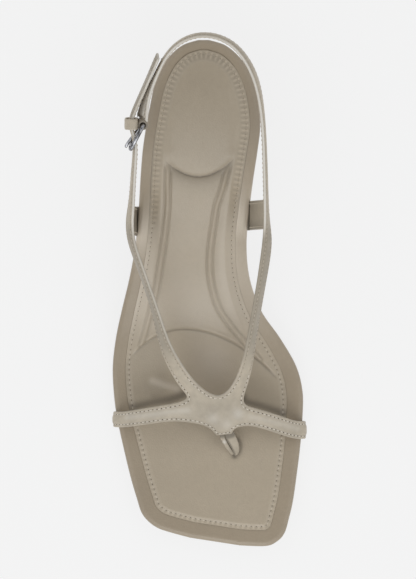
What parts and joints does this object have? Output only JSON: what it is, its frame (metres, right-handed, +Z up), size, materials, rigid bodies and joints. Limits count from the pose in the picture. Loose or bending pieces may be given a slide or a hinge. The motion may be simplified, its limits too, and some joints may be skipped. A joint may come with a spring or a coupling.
{
  "type": "heeled sandal",
  "caption": "Square-toe leather thong sandal on a mid heel: butterfly vamp strap with toe post, side tabs and a buckled sling strap over a padded footbed.",
  "frame": {"origin": "centre of the shoe's bounding box in plan, on the floor it stands on", "axes": "+Y toward the heel, +X toward the big-toe side, +Z up"},
  "size_m": [0.0911, 0.2369, 0.1011],
  "materials": {
    "outsole": "plain matt bottoming",
    "heel_cover": "smooth leather cover",
    "top_piece": "matt",
    "footbed_leather": "smooth, fine grain, slight sheen",
    "insole_leather": "smooth, padded, slight sheen",
    "strap_leather": "fine grain, edge stitched",
    "buckle_metal": "polished silver tone"
  },
  "bodies": {
    "root": {"outsole": "outsole", "heel": "heel_cover", "heel_top_piece": "top_piece", "footbed": "footbed_leather", "insole": "insole_leather", "upper": "strap_leather", "strap_keeper": "strap_leather", "buckle_frame": "buckle_metal", "buckle_prong": "buckle_metal"}
  },
  "joints": []
}
